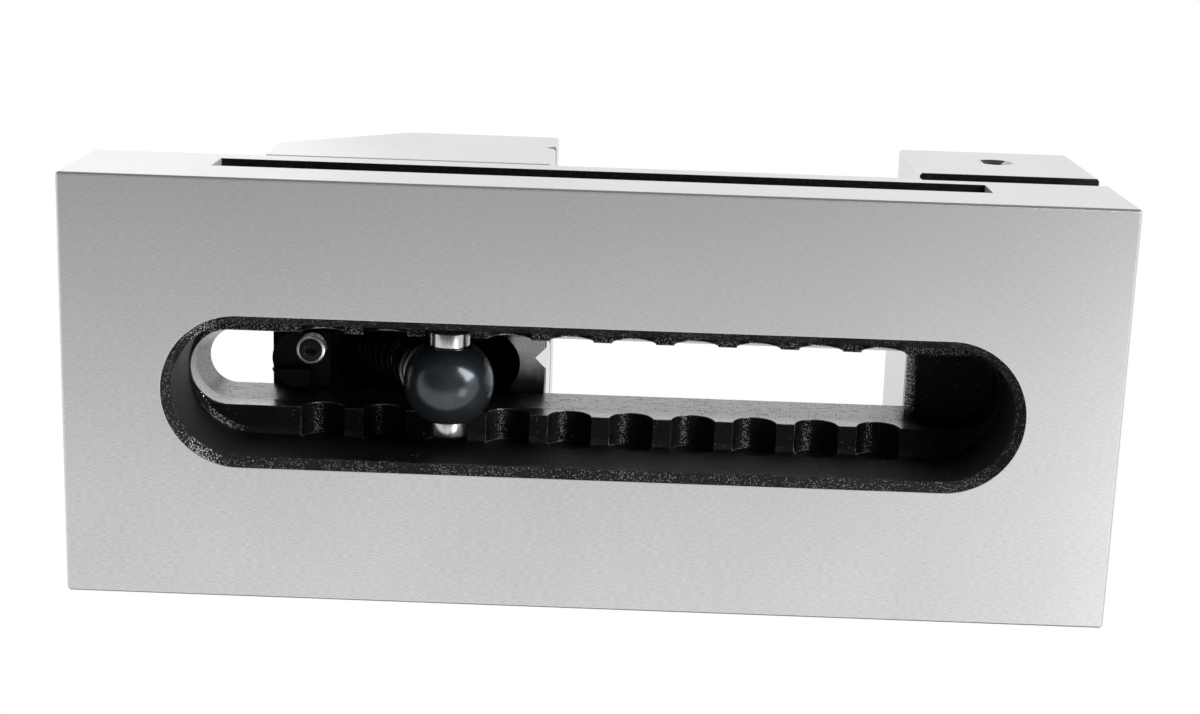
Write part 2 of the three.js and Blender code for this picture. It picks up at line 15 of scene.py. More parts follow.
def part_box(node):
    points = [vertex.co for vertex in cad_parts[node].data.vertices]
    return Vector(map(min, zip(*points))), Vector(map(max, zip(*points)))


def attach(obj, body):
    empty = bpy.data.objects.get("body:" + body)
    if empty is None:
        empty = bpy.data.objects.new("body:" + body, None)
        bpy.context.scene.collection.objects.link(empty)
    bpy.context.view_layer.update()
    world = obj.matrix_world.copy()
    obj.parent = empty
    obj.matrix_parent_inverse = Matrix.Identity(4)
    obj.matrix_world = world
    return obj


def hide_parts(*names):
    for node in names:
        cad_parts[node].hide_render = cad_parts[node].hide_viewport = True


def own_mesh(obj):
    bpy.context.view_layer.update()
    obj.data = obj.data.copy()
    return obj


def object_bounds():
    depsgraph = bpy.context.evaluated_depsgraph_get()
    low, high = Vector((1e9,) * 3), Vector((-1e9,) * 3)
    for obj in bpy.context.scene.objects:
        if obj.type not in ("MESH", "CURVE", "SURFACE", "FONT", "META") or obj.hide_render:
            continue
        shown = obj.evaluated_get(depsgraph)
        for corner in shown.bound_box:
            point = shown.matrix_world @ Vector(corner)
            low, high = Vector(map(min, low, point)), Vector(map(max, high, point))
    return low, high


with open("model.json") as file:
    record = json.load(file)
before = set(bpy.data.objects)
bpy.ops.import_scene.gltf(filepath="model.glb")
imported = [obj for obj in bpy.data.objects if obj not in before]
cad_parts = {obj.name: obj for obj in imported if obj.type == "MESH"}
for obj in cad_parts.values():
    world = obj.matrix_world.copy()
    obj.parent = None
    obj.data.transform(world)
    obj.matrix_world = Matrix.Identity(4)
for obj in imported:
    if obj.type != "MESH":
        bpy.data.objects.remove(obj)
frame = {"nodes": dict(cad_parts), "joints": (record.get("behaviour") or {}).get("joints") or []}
cad_low, cad_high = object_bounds()
mm = 0.001
nodes = frame["nodes"]
joints = {joint["name"]: joint for joint in frame["joints"]}
print("pieces in the packed model:", len(nodes))

# %% [markdown]
# The photograph looks at the underside of the vise from a little to one side. A lens a bit
# longer than normal keeps the long edges nearly parallel. The camera stands below the floor,
# so the floor has to be one that can't be seen from underneath.

# %% Camera
camera_place = Vector((6.2, -124.1, -457.5)) * mm
camera_turn_degrees = (166.207, -1.011, -1.882)
camera_lens = 61.64
near_clip = 10 * mm
camera_data = bpy.data.cameras.new("photo_camera")
camera_data.lens = camera_lens
camera_data.clip_start = near_clip
camera = bpy.data.objects.new("photo_camera", camera_data)
camera.location = camera_place
camera.rotation_euler = [math.radians(turn) for turn in camera_turn_degrees]
bpy.context.scene.collection.objects.link(camera)
bpy.context.scene.camera = camera
bpy.context.scene.view_settings.view_transform = "Standard"
print("camera stands", round(camera_place.length, 3), "m from the middle of the vise")

# %% [markdown]
# A node tree is easier to read when a short helper adds a node and fills its sockets. A value
# that is another node's socket becomes a link, and any other value is set on the socket.


# %% Node helpers
def new_material(name):
    material = bpy.data.materials.new(name)
    material.use_nodes = True
    material.node_tree.nodes.clear()
    return material


def fill(tree, socket, value):
    if isinstance(value, bpy.types.NodeSocket):
        tree.links.new(value, socket)
    else:
        socket.default_value = value


def add_node(tree, kind, settings=None, **sockets):
    made = tree.nodes.new(kind)
    for setting, value in (settings or {}).items():
        setattr(made, setting, value)
    for name, value in sockets.items():
        numbered = name[0] == "i" and name[1:].isdigit()
        key = int(name[1:]) if numbered else name.replace("_", " ")
        fill(tree, made.inputs[key], value)
    return made


def maths(tree, operation, *values):
    made = add_node(tree, "ShaderNodeMath", {"operation": operation})
    for socket, value in zip(made.inputs, values):
        fill(tree, socket, value)
    return made.outputs[0]


def product(tree, result, *others):
    for other in others:
        result = maths(tree, "MULTIPLY", result, other)
    return result


def vector_maths(tree, operation, *values, output="Vector"):
    made = add_node(tree, "ShaderNodeVectorMath", {"operation": operation})
    for socket, value in zip(made.inputs, values):
        fill(tree, socket, value)
    return made.outputs[output]


def ramp(tree, value, start, end):
    made = add_node(tree, "ShaderNodeMapRange", {"interpolation_type": "SMOOTHSTEP"}, Value=value,
                    From_Min=start, From_Max=end)
    return made.outputs[0]


def blend_colours(tree, share, first, second):
    made = add_node(tree, "ShaderNodeMix", {"data_type": "RGBA"}, i0=share, i6=first, i7=second)
    return made.outputs[2]


def blend_values(tree, share, first, second):
    made = add_node(tree, "ShaderNodeMix", {"data_type": "FLOAT"}, i0=share, i2=first, i3=second)
    return made.outputs[0]


def grey(level, warmth=0.0):
    return (level * (1 + warmth), level, level * (1 - warmth), 1)


print("node helpers are ready")

# %% [markdown]
# A mask in a material is a test of where a point lies or of which way the surface faces there.
# Object coordinates give the place and the Geometry node gives the true normal, and both stay
# on the piece when it moves. A finished material is repainted through such a mask by putting
# one more mix node before its base colour.


# %% Helpers for masks
def object_place(tree):
    place = add_node(tree, "ShaderNodeTexCoord").outputs["Object"]
    return add_node(tree, "ShaderNodeSeparateXYZ", Vector=place).outputs


def true_normal(tree):
    normal = add_node(tree, "ShaderNodeNewGeometry").outputs["Normal"]
    return add_node(tree, "ShaderNodeSeparateXYZ", Vector=normal).outputs


def shader_of(material):
    return next(made for made in material.node_tree.nodes if made.type == "BSDF_PRINCIPLED")


def base_colour_of(material):
    return shader_of(material).inputs["Base Color"].links[0].from_socket


def repaint(material, share, colour):
    tree = material.node_tree
    mixed = blend_colours(tree, share, base_colour_of(material), colour)
    fill(tree, shader_of(material).inputs["Base Color"], mixed)


print("mask helpers are ready")

# %% [markdown]
# The world is a white light tent with one dark opening, where the photographer stands. Ground
# steel shows its surroundings as a blur, so the opening's soft edge gives the underside its
# fall from light grey to mid grey. The opening is wider than it is high, so the direction is
# squeezed along X before it is compared. The camera itself sees plain white.

# %% World
world = bpy.data.worlds.new("light_tent")
bpy.context.scene.world = world
world.use_nodes = True
tree = world.node_tree
tree.nodes.clear()
tent_low_level = 1.0
tent_high_level = 0.82
tent_fade = 0.5
opening_level = 0.12
opening_direction = (-0.10, -0.46, -0.88)
opening_squeeze = (0.45, 1, 1)
opening_core = 0.865
opening_edge = 0.655
backdrop_level = 1.0
direction = add_node(tree, "ShaderNodeTexCoord").outputs["Generated"]
squeezed = vector_maths(tree, "MULTIPLY", direction, opening_squeeze)
squeezed = vector_maths(tree, "NORMALIZE", squeezed)
towards = vector_maths(tree, "DOT_PRODUCT", squeezed, opening_direction, output="Value")
opening = ramp(tree, towards, opening_edge, opening_core)
height = add_node(tree, "ShaderNodeSeparateXYZ", Vector=direction).outputs["Z"]
up_share = ramp(tree, height, -tent_fade, tent_fade)
tent = blend_values(tree, up_share, tent_low_level, tent_high_level)
level = blend_values(tree, opening, tent, opening_level)
seen = add_node(tree, "ShaderNodeLightPath").outputs["Is Camera Ray"]
strength = blend_values(tree, seen, level, backdrop_level)
background = add_node(tree, "ShaderNodeBackground", Color=grey(1.0), Strength=strength)
add_node(tree, "ShaderNodeOutputWorld", Surface=background.outputs[0])
print("tent", tent_low_level, tent_high_level, "with an opening of", opening_level)

# %% [markdown]
# The floor is a pale sheet that only the camera sees, and only from above. Light paths that
# start on the vise pass through it, so the underside is lit as it is in the photograph. Seen
# from above it still takes the shadow of the vise.

# %% Floor
floor_side = 8.0
floor_drop = 0.2 * mm
floor_colour = grey(0.93)
bpy.ops.object.select_all(action="DESELECT")
bpy.ops.mesh.primitive_plane_add(size=floor_side, location=(0, 0, -floor_drop))
floor = bpy.context.active_object
floor.name = "floor"
floor_material = new_material("pale_floor")
tree = floor_material.node_tree
path = add_node(tree, "ShaderNodeLightPath").outputs
facing_away = add_node(tree, "ShaderNodeNewGeometry").outputs["Backfacing"]
from_above = maths(tree, "SUBTRACT", 1.0, facing_away)
shows = product(tree, path["Is Camera Ray"], from_above)
paper = add_node(tree, "ShaderNodeBsdfDiffuse", Color=floor_colour)
clear = add_node(tree, "ShaderNodeBsdfTransparent")
surface = add_node(tree, "ShaderNodeMixShader", i0=shows, i1=clear.outputs[0], i2=paper.outputs[0])
add_node(tree, "ShaderNodeOutputMaterial", Surface=surface.outputs[0])
floor.data.materials.append(floor_material)
print("floor lies at", floor.location.z, "m")

# %% [markdown]
# Four soft boxes light the vise: a large one overhead, one beside it over the open end, one below
# on the right that the polished ball shows as a window, and a small weak one below on the far
# side, which adds a faint stripe to the pins. Lengths are in metres, and power is in watts.


# %% Soft boxes
def soft_box(name, place, size, power):
    data = bpy.data.lights.new(name, "AREA")
    data.shape = "RECTANGLE"
    data.size, data.size_y = size
    data.energy = power
    lamp = bpy.data.objects.new(name, data)
    lamp.location = place
    lamp.rotation_euler = (-Vector(place)).to_track_quat("-Z", "Y").to_euler()
    bpy.context.scene.collection.objects.link(lamp)


soft_box("overhead_box", place=(0.1, -0.3, 1.1), size=(1.6, 1.4), power=1.1)
soft_box("open_end_box", place=(-0.62, -0.3, 1.0), size=(0.5, 0.9), power=0.42)
soft_box("window_box", place=(0.64, -0.48, -0.39), size=(0.6, 0.46), power=9.5)
soft_box("stripe_box", place=(0.56, 0.24, -0.68), size=(0.3, 0.3), power=0.8)

# %% [markdown]
# Ground steel has fine scratches along the way the grinder went. Noise that is stretched along
# one direction makes them: it moves the colour and the roughness a little, and dents the
# surface by a few thousandths of a millimetre. The bevel node rounds the shading of the edges,
# so a sharp corner still catches a thin line of light.

# %% Ground steel
bevel_samples = 4
scratch_share = 0.8
scratch_spread = (0.33, 0.67)
cloud_grain = (18, 18, 18)
noise_middle = 0.5


def rounded_edges(tree, radius):
    return add_node(tree, "ShaderNodeBevel", {"samples": bevel_samples}, Radius=radius).outputs[0]


def grain_noise(tree, grain, detail=3.0, roughness=0.6):
    place = add_node(tree, "ShaderNodeTexCoord").outputs["Object"]
    scaled = add_node(tree, "ShaderNodeMapping", Vector=place, Scale=grain)
    noise = add_node(tree, "ShaderNodeTexNoise", Vector=scaled.outputs[0], Scale=1.0,
                     Detail=detail, Roughness=roughness)
    return noise.outputs["Fac"]


def ground_steel(name, light, dark, grain, rough_low, rough_high, dent=0.003 * mm, edge=0.25 * mm):
    material = new_material(name)
    tree = material.node_tree
    fine = grain_noise(tree, grain)
    cloud = grain_noise(tree, cloud_grain, detail=2.0)
    spread = ramp(tree, blend_values(tree, scratch_share, cloud, fine), *scratch_spread)
    colour = blend_colours(tree, spread, grey(dark), grey(light))
    rough = blend_values(tree, spread, rough_high, rough_low)
    normal = add_node(tree, "ShaderNodeBump", Height=fine, Distance=dent, Strength=1.0,
                      Normal=rounded_edges(tree, edge)).outputs[0]
    steel = add_node(tree, "ShaderNodeBsdfPrincipled", Base_Color=colour, Metallic=1.0,
                     Roughness=rough, Normal=normal)
    add_node(tree, "ShaderNodeOutputMaterial", Surface=steel.outputs[0])
    return material


along_bed = (700, 5200, 5200)
across_bed = (5200, 700, 5200)
body_steel = ground_steel("ground_body_steel", light=0.775, dark=0.635, grain=along_bed,
                          rough_low=0.27, rough_high=0.33)
print("made", body_steel.name)

# %% [markdown]
# Along the bed's lower edges, and at the foot of the moving jaw's sides, runs a thin dark line. It is
# painted shade: the edge is broken by hand, and its small chamfer shows the dark opening of the tent. A
# chamfer in the mesh would need the imported piece to be cut, so the line is painted by place.

# %% Painted shade lines along the edges
line_overlap = 0.1 * mm
bed_line_height = 0.9 * mm
bed_line_inset = 0.42 * mm
bed_line_out = cad_high.y - bed_line_inset


def painted_shade_line(material, low, high, out_from, level):
    tree = material.node_tree
    place = object_place(tree)
    above = maths(tree, "GREATER_THAN", place["Z"], low)
    below = maths(tree, "LESS_THAN", place["Z"], high)
    aside = maths(tree, "GREATER_THAN", maths(tree, "ABSOLUTE", place["Y"]), out_from)
    repaint(material, product(tree, above, below, aside), grey(level))


painted_shade_line(body_steel, low=cad_low.z - line_overlap, high=cad_low.z + bed_line_height,
          out_from=bed_line_out, level=0.2)
print("the bed's dark line starts", round(bed_line_out / mm, 2), "mm from the middle")

# %% [markdown]
# The slot was milled after painting, so its walls are bare steel, bright where light falls in from
# above and dark where the moving jaw covers them. Past its right end, under the fixed jaw, the paint
# begins, with a ragged border; this paint is painted shade where the fixed jaw covers the wall. A test
# of the place gives that without cutting the mesh, and coarse noise moves the border to and fro.

# %% The bare slot
slot_half_width = 9.45 * mm
slot_low = 23.45 * mm
slot_open_end = 76.9 * mm
border_blur = 0.3 * mm
border_wander = 5 * mm
border_grains = (0.38, 0.62)
low_border_share = 0.12


def milled_slot(tree, grains):
    place = object_place(tree)
    ragged = maths(tree, "SUBTRACT", ramp(tree, grains, *border_grains), noise_middle)
    ragged = maths(tree, "MULTIPLY", ragged, border_wander)
    along = maths(tree, "ADD", place["X"], ragged)
    # Past the open end the wall keeps the paint, as painted shade under the fixed jaw.
    in_length = ramp(tree, along, slot_open_end + border_blur, slot_open_end - border_blur)
    in_width = maths(tree, "LESS_THAN", maths(tree, "ABSOLUTE", place["Y"]), slot_half_width)
    height = maths(tree, "ADD", place["Z"], maths(tree, "MULTIPLY", ragged, low_border_share))
    in_height = maths(tree, "GREATER_THAN", height, slot_low)
    return product(tree, in_length, in_width, in_height)


print("the bare slot ends at", slot_open_end, "m")

# %% [markdown]
# Bright specks show where a grain of the casting has lost its paint, and they are also painted glints
# of the grains. A Voronoi texture gives each of its cells a random colour, and only cells whose colour
# is below a chance keep their speck. On sharp edges the paint is worn through. The rounded normal
# differs from the true one only there, so their comparison finds the edges, and noise breaks the line
# into dots. Edges that face right, towards the window box, carry more of it, which is painted
# highlight.

# %% Specks and worn edges
edge_gain = 2.0
wear_start = -0.05
wear_full = 0.03
lit_side = (0.02, 0.3)
unlit_share = 0.2
dot_grain = (1300, 1300, 1300)
dot_spread = (0.47, 0.57)
between_dots_share = 0.15


def speckles(tree, cell, size, chance):
    place = add_node(tree, "ShaderNodeTexCoord").outputs["Object"]
    grains = add_node(tree, "ShaderNodeTexVoronoi", Vector=place, Scale=1 / cell)
    near = ramp(tree, grains.outputs["Distance"], size, size / 2)
    drawn = add_node(tree, "ShaderNodeSeparateColor", Color=grains.outputs["Color"]).outputs[0]
    return product(tree, near, maths(tree, "LESS_THAN", drawn, chance))


def edge_wear(tree, soft, grains, worn):
    true = add_node(tree, "ShaderNodeNewGeometry").outputs["Normal"]
    likeness = vector_maths(tree, "DOT_PRODUCT", soft, true, output="Value")
    turn = maths(tree, "MULTIPLY", maths(tree, "SUBTRACT", 1.0, likeness), edge_gain)
    bare = ramp(tree, maths(tree, "ADD", turn, grains), worn + wear_start, worn + wear_full)
    faces_right = add_node(tree, "ShaderNodeSeparateXYZ", Vector=soft).outputs["X"]
    # Edges that face right, towards the window box, wear more: a painted highlight.
    lit_share = blend_values(tree, ramp(tree, faces_right, *lit_side), unlit_share, 1.0)
    dots = ramp(tree, grain_noise(tree, dot_grain, detail=1.0), *dot_spread)
    dots = blend_values(tree, dots, between_dots_share, 1.0)
    return product(tree, bare, lit_share, dots)


print("worn paint shows between dots at", between_dots_share, "of its strength")

# %% [markdown]
# Specks lie thick in three places: along the pocket's lower rim, in a streak down each painted notch,
# and on the underside of the near ledge. The streak is a painted highlight on the part of the notch's
# wall that faces the window box, and the specks there and on the ledge are painted lighter as painted
# highlight. The first is found by height, the second by the way the notch's wall faces, and the third
# by both.

# %% Where the specks lie
rim_start_share = 2.0
rim_full_share = 0.4
patch_grain = (60, 60, 60)
patch_spread = (0.25, 0.7)
streak_start = (0.1, 0.3)
streak_end = (0.62, 0.42)
downward = -0.7
flat_downward = -0.98
ledge_above = 20 * mm
stray_chance = 0.01
rim_chance = 0.42
streak_chance = 0.7
ledge_chance = 0.65
ledge_light = 0.5
speck_cell = 0.27 * mm
speck_size = 0.45
speck_levels = (0.4, 0.9)


def painted_notch_highlight(tree):
    facing = true_normal(tree)
    rising = ramp(tree, facing["X"], *streak_start)
    falling = ramp(tree, facing["X"], *streak_end)
    faces_down = maths(tree, "LESS_THAN", facing["Z"], downward)
    return product(tree, rising, falling, faces_down)


def near_ledge(tree):
    place = object_place(tree)
    level = maths(tree, "LESS_THAN", true_normal(tree)["Z"], flat_downward)
    near = maths(tree, "LESS_THAN", place["Y"], -slot_half_width)
    inside = maths(tree, "GREATER_THAN", place["Z"], ledge_above)
    return product(tree, level, near, inside)


def paint_specks(tree, plain, rim_height):
    height = object_place(tree)["Z"]
    on_rim = ramp(tree, height, rim_start_share * rim_height, rim_full_share * rim_height)
    patches = ramp(tree, grain_noise(tree, patch_grain, detail=2.0), *patch_spread)
    streak = painted_notch_highlight(tree)
    ledge = near_ledge(tree)
    chance = blend_values(tree, on_rim, stray_chance, product(tree, patches, rim_chance))
    chance = maths(tree, "MAXIMUM", chance, product(tree, streak, streak_chance))
    chance = maths(tree, "MAXIMUM", chance, product(tree, ledge, ledge_chance))
    specks = speckles(tree, speck_cell, speck_size, chance)
    # The specks in the notch's streak and on the ledge are painted lighter, as painted highlight.
    lit = maths(tree, "MAXIMUM", streak, product(tree, ledge, ledge_light))
    speck_colour = blend_colours(tree, lit, *[grey(level) for level in speck_levels])
    return blend_colours(tree, specks, plain, speck_colour)


print("specks are", speck_cell, "m apart")

# %% [markdown]
# The recesses are brushed with black paint over the rough casting. Coarse noise gives its
# grains, which catch a little light. The same material shows the bare steel of the slot's
# walls: there it turns metallic and smooth, with streaks along the cut and small dark pits.

# %% Black paint
paint_edge = 0.3 * mm
paint_cloud_grain = (90, 90, 90)
lit_grains = (0.55, 0.7)
lit_grain_gain = 16
paint_cold = -0.05
lit_grain_cold = -0.2
rough_change = 0.2
worn_level = 0.8
cut_grain = (300, 2200, 2200)
stain_spread = (0.36, 0.5)
stain_share = 0.45
pit_cell = 0.6 * mm
pit_size = 0.4
pit_chance = 0.16
pit_share = 0.2
slot_rough = 0.26
slot_dent_share = 0.06


def slot_steel(tree, coarse, level):
    streaks = grain_noise(tree, cut_grain, detail=4.0)
    clean = ramp(tree, blend_values(tree, 0.5, coarse, streaks), *stain_spread)
    steel = blend_colours(tree, clean, grey(level * stain_share), grey(level))
    pits = speckles(tree, pit_cell, pit_size, pit_chance)
    return blend_colours(tree, pits, steel, grey(level * pit_share))


def black_paint(name, base, grain_size, dent, rough, worn=0.9, slot_level=None, rim_height=None,
                shine=0.22):
    material = new_material(name)
    tree = material.node_tree
    step = 1 / grain_size
    coarse = grain_noise(tree, (step, step, step), detail=4.0, roughness=0.7)
    cloud = grain_noise(tree, paint_cloud_grain, detail=2.0)
    soft = rounded_edges(tree, paint_edge)
    colour = blend_colours(tree, ramp(tree, coarse, *lit_grains), grey(base, paint_cold),
                           grey(base * lit_grain_gain, lit_grain_cold))
    roughness = blend_values(tree, cloud, rough * (1 - rough_change), rough * (1 + rough_change))
    metallic = 0.0
    dent_strength = 1.0
    if rim_height:
        colour = paint_specks(tree, colour, rim_height)
    colour = blend_colours(tree, edge_wear(tree, soft, coarse, worn), colour, grey(worn_level))
    if slot_level:
        metallic = milled_slot(tree, coarse)
        colour = blend_colours(tree, metallic, colour, slot_steel(tree, coarse, slot_level))
        roughness = blend_values(tree, metallic, roughness, slot_rough)
        dent_strength = blend_values(tree, metallic, 1.0, slot_dent_share)
    normal = add_node(tree, "ShaderNodeBump", Height=coarse, Distance=dent, Strength=dent_strength,
                      Normal=soft).outputs[0]
    paint = add_node(tree, "ShaderNodeBsdfPrincipled", Base_Color=colour, Metallic=metallic,
                     Roughness=roughness, Specular_IOR_Level=shine, Normal=normal)
    add_node(tree, "ShaderNodeOutputMaterial", Surface=paint.outputs[0])
    return material


recess_paint = black_paint("recess_paint", base=0.002, grain_size=0.34 * mm, dent=0.3 * mm, rough=0.3,
                           worn=0.94, slot_level=0.43, rim_height=2.3 * mm)
groove_paint = black_paint("groove_paint", base=0.003, grain_size=0.4 * mm, dent=0.07 * mm, rough=0.42)
hollow_paint = black_paint("hollow_paint", base=0.001, grain_size=0.6 * mm, dent=0.05 * mm, rough=0.6,
                           worn=2.0, shine=0.05)
print("made", recess_paint.name, groove_paint.name, hollow_paint.name)

# %% [markdown]
# The bed keeps its imported mesh. Its faces are sorted by place: everything inside the pocket and the
# grooves is painted, the bore of the work-stop hole is painted black as painted shade, the end walls of
# the side grooves and the sink of the work-stop hole are cut and left bare, and the rest is ground.

# %% Finish of the bed
bed = nodes["vise_body"]
bed_low, bed_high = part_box("vise_body")
mouth_half_width = 18.2 * mm
mouth_half_length = 100.6 * mm
bed_top = 36 * mm
side_groove_top = 29.2 * mm
end_groove_top = 45.2 * mm
stop_hole_place = Vector((100.7, 68)) * mm
stop_hole_reach = 5 * mm
stop_hole_dark = 2.7 * mm
skin = 0.05 * mm
level_normal = 0.9
ground, painted, groove_painted, cut_bare = range(4)


def bed_finish(face):
    middle = face.center
    in_mouth = abs(middle.y) < mouth_half_width and abs(middle.x) < mouth_half_length
    if in_mouth and skin < middle.z < bed_top - skin:
        return painted
    inset = min(abs(middle.y - bed_low.y), abs(middle.y - bed_high.y)) > skin
    off_end = min(abs(middle.x - bed_low.x), abs(middle.x - bed_high.x)) > skin
    square = max(abs(part) for part in face.normal) > level_normal
    in_groove = inset and off_end and square and skin < middle.z < end_groove_top
    if in_groove and abs(middle.z - bed_top) > skin:
        end_wall = abs(face.normal.x) > level_normal and middle.z < side_groove_top
        return cut_bare if end_wall else groove_painted
    to_hole = Vector((middle.x, middle.z)) - stop_hole_place
    # The bore of the work-stop hole takes the black groove paint, which is painted shade inside the
    # hole.
    if inset and to_hole.length < stop_hole_reach:
        return groove_painted if abs(to_hole.x) < stop_hole_dark else cut_bare
    return ground


def finish_faces(node, materials, choose):
    node.data.materials.clear()
    for material in materials:
        node.data.materials.append(material)
    counts = [0] * len(materials)
    for face in node.data.polygons:
        face.material_index = choose(face)
        counts[face.material_index] += 1
    print(node.name, "faces of each finish:", counts)


cut_grain_even = (2000, 2000, 2000)
cut_metallic = 0.2
cut_steel = ground_steel("cut_steel", light=0.5, dark=0.36, grain=cut_grain_even, rough_low=0.4,
                         rough_high=0.5)
shader_of(cut_steel).inputs["Metallic"].default_value = cut_metallic
finish_faces(bed, [body_steel, recess_paint, groove_paint, cut_steel], bed_finish)

# %% [markdown]
# The moving jaw is ground outside. The hollow underneath and the bores for the screw are left black.
# Round the hollow the underside is painted near black, and the land behind the jaw's face is painted
# half as bright and darker still towards one side: both are painted shade, made with a mask by place on
# the jaw.

# %% Steel of the moving jaw
jaw_low, jaw_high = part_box("moving_jaw")
land_back = -20.5 * mm
shade_edge = 1.2 * mm
shade_start = -5 * mm
shade_full = 4.5 * mm
shade_wander = 6 * mm
shade_grain = (160, 160, 160)
shade_on_land = 0.5
shade_level = grey(0.012)
black_level = grey(0.002)
shaded_height = jaw_low.z + 0.1 * mm
jaw_line_height = 1.5 * mm


def painted_underside_shade(material):
    tree = material.node_tree
    clean = base_colour_of(material)
    place = object_place(tree)
    blotch = maths(tree, "SUBTRACT", grain_noise(tree, shade_grain), noise_middle)
    sideways = maths(tree, "ADD", place["Y"], maths(tree, "MULTIPLY", blotch, shade_wander))
    behind = ramp(tree, place["X"], land_back + shade_edge, land_back - shade_edge)
    aside = ramp(tree, sideways, shade_start, shade_full)
    under = maths(tree, "LESS_THAN", place["Z"], shaded_height)
    dull = blend_colours(tree, shade_on_land, clean, shade_level)
    land = blend_colours(tree, aside, dull, shade_level)
    # The black round the hollow and the dimmed land are painted shade.
    repaint(material, under, blend_colours(tree, behind, land, black_level))


jaw_ground = ground_steel("ground_jaw_steel", light=0.74, dark=0.60, grain=across_bed,
                          rough_low=0.2, rough_high=0.26, edge=0.12 * mm)
painted_underside_shade(jaw_ground)
# The foot of the jaw's sides gets the same painted shade line.
painted_shade_line(jaw_ground, low=jaw_low.z, high=jaw_low.z + jaw_line_height, out_from=jaw_high.y - skin,
          level=0.08)
print("made", jaw_ground.name)

# %% [markdown]
# The hollow and the bores are sorted out by place as the bed's recesses were. The sloping back,
# which lies above them, faces up and back, and that keeps it apart.

# %% Finish of the moving jaw
hollow_front = -18.2 * mm
hollow_half_width = 10.2 * mm
hollow_skin = 0.3 * mm
back_wall = 2.5 * mm
sloping = 0.2


def jaw_finish(face):
    middle = face.center
    across = abs(middle.y) < hollow_half_width
    along = jaw_low.x + back_wall < middle.x < hollow_front
    raised = jaw_low.z + hollow_skin < middle.z < jaw_high.z - skin
    on_slope = face.normal.z > sloping and face.normal.x < -sloping
    return int(across and along and raised and not on_slope)


finish_faces(nodes["moving_jaw"], [jaw_ground, hollow_paint], jaw_finish)

# %% [markdown]
# Turned pieces are modelled as on a lathe. A drawn profile could be spun, which leaves a seam to
# be merged. Here a circle is the first ring of the profile, and each step extrudes it along the
# axis and scales it to the next radius, so the piece is closed all round from the start. A ring
# with a bore is closed by a bridge from its last loop to its first, and a solid piece by a cap on
# both ends. They are all made upright about the origin and set in place at the end.


# %% Bench helpers
def take(piece):
    bpy.ops.object.select_all(action="DESELECT")
    piece.select_set(True)
    bpy.context.view_layer.objects.active = piece


def turned(name, profile, sides=96, bored=False):
    bpy.ops.object.select_all(action="DESELECT")
    radius, height = profile[0]
    bpy.ops.mesh.primitive_circle_add(vertices=sides, radius=radius, location=(0, 0, height))
    piece = bpy.context.active_object
    piece.name = name
    bpy.ops.object.transform_apply(location=True, rotation=False, scale=False)
    bpy.ops.object.mode_set(mode="EDIT")
    bpy.ops.mesh.select_mode(type="EDGE")
    bpy.ops.mesh.select_all(action="SELECT")
    for next_radius, next_height in profile[1:]:
        rise = next_height - height
        bpy.ops.mesh.extrude_region_move(TRANSFORM_OT_translate={"value": (0, 0, rise)})
        growth = next_radius / radius
        bpy.ops.transform.resize(value=(growth, growth, 1), center_override=(0, 0, next_height))
        radius, height = next_radius, next_height
    bpy.ops.mesh.select_all(action="DESELECT")
    bpy.ops.mesh.select_non_manifold(extend=False)
    if bored:
        bpy.ops.mesh.bridge_edge_loops()
    else:
        bpy.ops.mesh.fill_holes(sides=0)
    bpy.ops.mesh.select_all(action="SELECT")
    bpy.ops.mesh.normals_make_consistent(inside=False)
    bpy.ops.object.mode_set(mode="OBJECT")
    return piece


def select_faces(piece, wanted):
    bpy.ops.mesh.select_mode(type="FACE")
    bpy.ops.mesh.select_all(action="DESELECT")
    bpy.ops.object.mode_set(mode="OBJECT")
    for face in piece.data.polygons:
        face.select = wanted(face)
    bpy.ops.object.mode_set(mode="EDIT")


def cut_away(piece, tool):
    cut = piece.modifiers.new("cut", "BOOLEAN")
    cut.operation = "DIFFERENCE"
    cut.solver = "EXACT"
    cut.object = tool
    take(piece)
    bpy.ops.object.modifier_apply(modifier=cut.name)
    bpy.data.objects.remove(tool)


def break_edges(piece, width, sharper_than=35):
    soft = piece.modifiers.new("broken_edges", "BEVEL")
    soft.width = width
    soft.segments = 2
    soft.limit_method = "ANGLE"
    soft.angle_limit = math.radians(sharper_than)
    take(piece)
    bpy.ops.object.modifier_apply(modifier=soft.name)


def finish_piece(piece, material, place, smooth_below=32):
    piece.matrix_world = place
    take(piece)
    bpy.ops.object.transform_apply(location=True, rotation=True, scale=True)
    bpy.ops.object.shade_smooth_by_angle(angle=math.radians(smooth_below))
    piece.data.materials.clear()
    piece.data.materials.append(material)
    print(piece.name, "has", len(piece.data.polygons), "faces")


print("bench helpers are ready")

# %% [markdown]
# The screw's axis leans back by 30 degrees from upright and starts in the middle of the ball.
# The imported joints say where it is: the nut slides along it, and the swing joint stands where
# it meets the middle of the washer's sphere.

# %% The screw's axis
nut_low, nut_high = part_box("ball_nut")
nut_centre = Vector(((nut_low.x + nut_high.x) / 2, 0, (nut_low.z + nut_high.z) / 2))
screw_direction = Vector(joints["nut_draw"]["axis"]).normalized()
swing_centre = Vector(joints["screw_swing"]["pos_m"])
swing_reach = (swing_centre - nut_centre).length
upright = Vector((0, 0, 1))
lean = upright.rotation_difference(screw_direction).to_matrix().to_4x4()
on_screw_axis = Matrix.Translation(nut_centre) @ lean
running_gap = 0.3 * mm
print("the swing centre is", round(swing_reach / mm, 2), "mm up the screw")

# %% [markdown]
# The ball and the pins are the parts that the eye goes to. The ball is polished and blued, so
# it is nearly black and shows the lamps sharply. The pins are hardened and ground bright. Both
# get faint turning marks and a thin film of oil that changes the roughness in patches. The
# screws, washers, spring and guide block are the same kind of steel with other levels, so one
# helper makes them all. Levels and roughness each run from a low to a high value.


